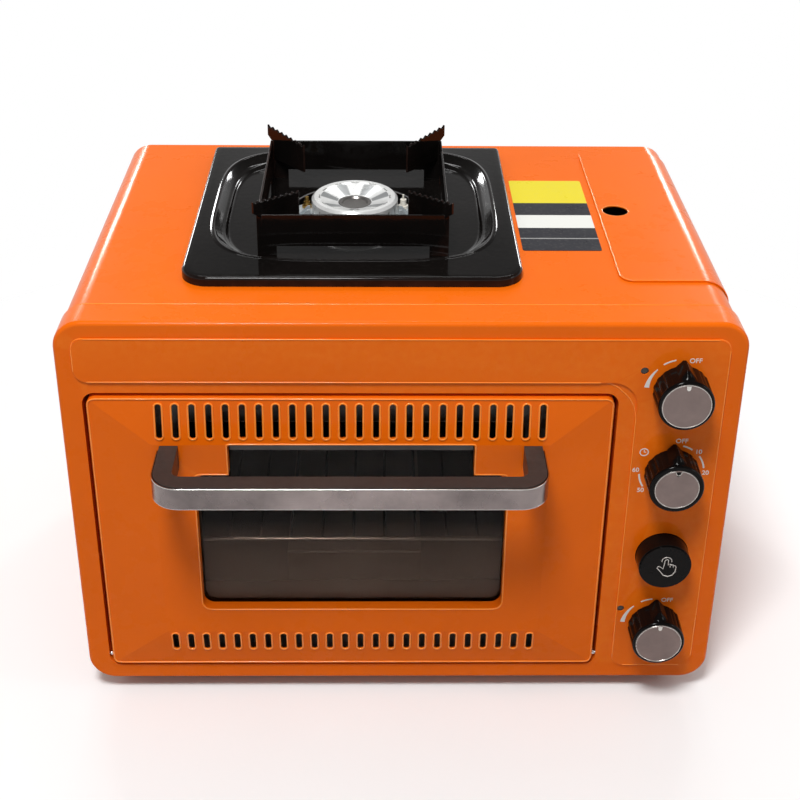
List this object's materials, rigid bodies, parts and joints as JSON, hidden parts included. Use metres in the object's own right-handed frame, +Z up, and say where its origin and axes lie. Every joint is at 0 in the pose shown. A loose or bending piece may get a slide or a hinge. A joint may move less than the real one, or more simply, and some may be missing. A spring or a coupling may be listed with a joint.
{
  "type": "camp oven with stove burner",
  "caption": "Portable gas oven box with a drop-down glass door and handle, a stove burner with pot support on top, a cartridge bay under a hinged lid, and a column of knobs.",
  "frame": {"origin": "on the table under the middle of the whole oven, handle included", "axes": "+X to the right seen from the front, +Y from the front to the back, +Z up"},
  "size_m": [0.47, 0.387, 0.364],
  "materials": {
    "orange_paint": "satin powder coat",
    "black_enamel": "gloss vitreous enamel",
    "galvanised": "plain zinc-coated sheet",
    "dark_steel": "baked dark coating",
    "chrome_wire": "bright plated",
    "bright_steel": "brushed",
    "cast_aluminium": "fine cast, bright",
    "valve_metal": "die cast",
    "brass": "plain",
    "ceramic": "glazed",
    "rubber": "matte",
    "dark_plastic": "fine matte",
    "gloss_black": "gloss",
    "timer_plastic": "matte",
    "insert_metal": "brushed, tinted",
    "window_glass": "clear, tempered",
    "label": "printed film"
  },
  "bodies": {
    "case": {"front_panel": "orange_paint", "body_shell": "orange_paint", "rear_panel": "galvanised", "base_pan": "galvanised", "rubber_feet": "rubber", "foot_screws": "bright_steel", "rear_screws": "bright_steel", "oven_liner": "dark_steel", "liner_supports": "galvanised", "rack_rails": "chrome_wire", "heat_baffle": "bright_steel", "oven_burner_tube": "bright_steel", "oven_electrode": "ceramic", "burner_base": "cast_aluminium", "burner_head": "cast_aluminium", "burner_cup": "bright_steel", "burner_bracket": "bright_steel", "stove_electrode": "ceramic", "thermocouple": "brass", "stove_valve": "valve_metal", "oven_valve": "valve_metal", "timer_body": "timer_plastic", "safety_valve": "brass", "button_housing": "dark_plastic", "button_spring": "bright_steel", "gas_pipes": "brass", "bay_partition": "galvanised", "bay_floor": "galvanised", "cartridge_cradle": "bright_steel", "lid_hinge_pins": "bright_steel", "lid_hinge_brackets": "galvanised", "hinge_brackets": "galvanised", "door_catch": "dark_plastic", "valve_screws": "bright_steel", "label_plate": "label"},
    "door": {"door_outer": "orange_paint", "door_inner": "galvanised", "window_glass": "window_glass", "glass_frame": "dark_steel", "door_handle": "dark_plastic", "handle_facing": "bright_steel", "handle_screws": "bright_steel", "door_hinge_pins": "bright_steel", "door_side_screws": "bright_steel"},
    "rack": {"wire_rack": "chrome_wire"},
    "lid": {"cartridge_lid": "orange_paint"},
    "pan": {"drip_pan": "black_enamel"},
    "support": {"pot_support": "black_enamel"},
    "stove_control": {"stove_knob": "gloss_black", "stove_insert": "insert_metal", "stove_stem": "bright_steel"},
    "oven_control": {"oven_knob": "gloss_black", "oven_insert": "insert_metal", "oven_stem": "bright_steel"},
    "timer_control": {"timer_knob": "gloss_black", "timer_insert": "insert_metal", "timer_stem": "bright_steel"},
    "button": {"safety_button": "gloss_black"}
  },
  "joints": [
    {"name": "door_hinge", "type": "hinge", "parent": "case", "child": "door", "pos_m": [-0.03475, -0.1329, 0.034], "axis": [1, 0, 0], "range_deg": [0, 80]},
    {"name": "rack_slide", "type": "slide", "parent": "case", "child": "rack", "axis": [0, -1, 0], "range_m": [0, 0.0531]},
    {"name": "lid_hinge", "type": "hinge", "parent": "case", "child": "lid", "pos_m": [0.2315, 0.0505, 0.274], "axis": [0, 1, 0], "range_deg": [0, 95]},
    {"name": "pan_lift", "type": "slide", "parent": "case", "child": "pan", "axis": [0, 0, 1], "range_m": [0, 0.04]},
    {"name": "support_lift", "type": "slide", "parent": "pan", "child": "support", "axis": [0, 0, 1], "range_m": [0, 0.05]},
    {"name": "stove_turn", "type": "hinge", "parent": "case", "child": "stove_control", "pos_m": [0.191, -0.1365, 0.27], "axis": [0, -1, 0], "range_deg": [0, 90]},
    {"name": "oven_turn", "type": "hinge", "parent": "case", "child": "oven_control", "pos_m": [0.191, -0.1365, 0.065], "axis": [0, -1, 0], "range_deg": [0, 90]},
    {"name": "timer_turn", "type": "hinge", "parent": "case", "child": "timer_control", "pos_m": [0.191, -0.1365, 0.2025], "axis": [0, 1, 0], "range_deg": [0, 276]},
    {"name": "button_press", "type": "slide", "parent": "case", "child": "button", "axis": [0, 1, 0], "range_m": [0, 0.005], "stiffness_N_per_m": 400}
  ],
  "couplings": [
    {"joint": "rack_slide", "follows": "door_hinge", "m_per_rad": 0.038}
  ]
}
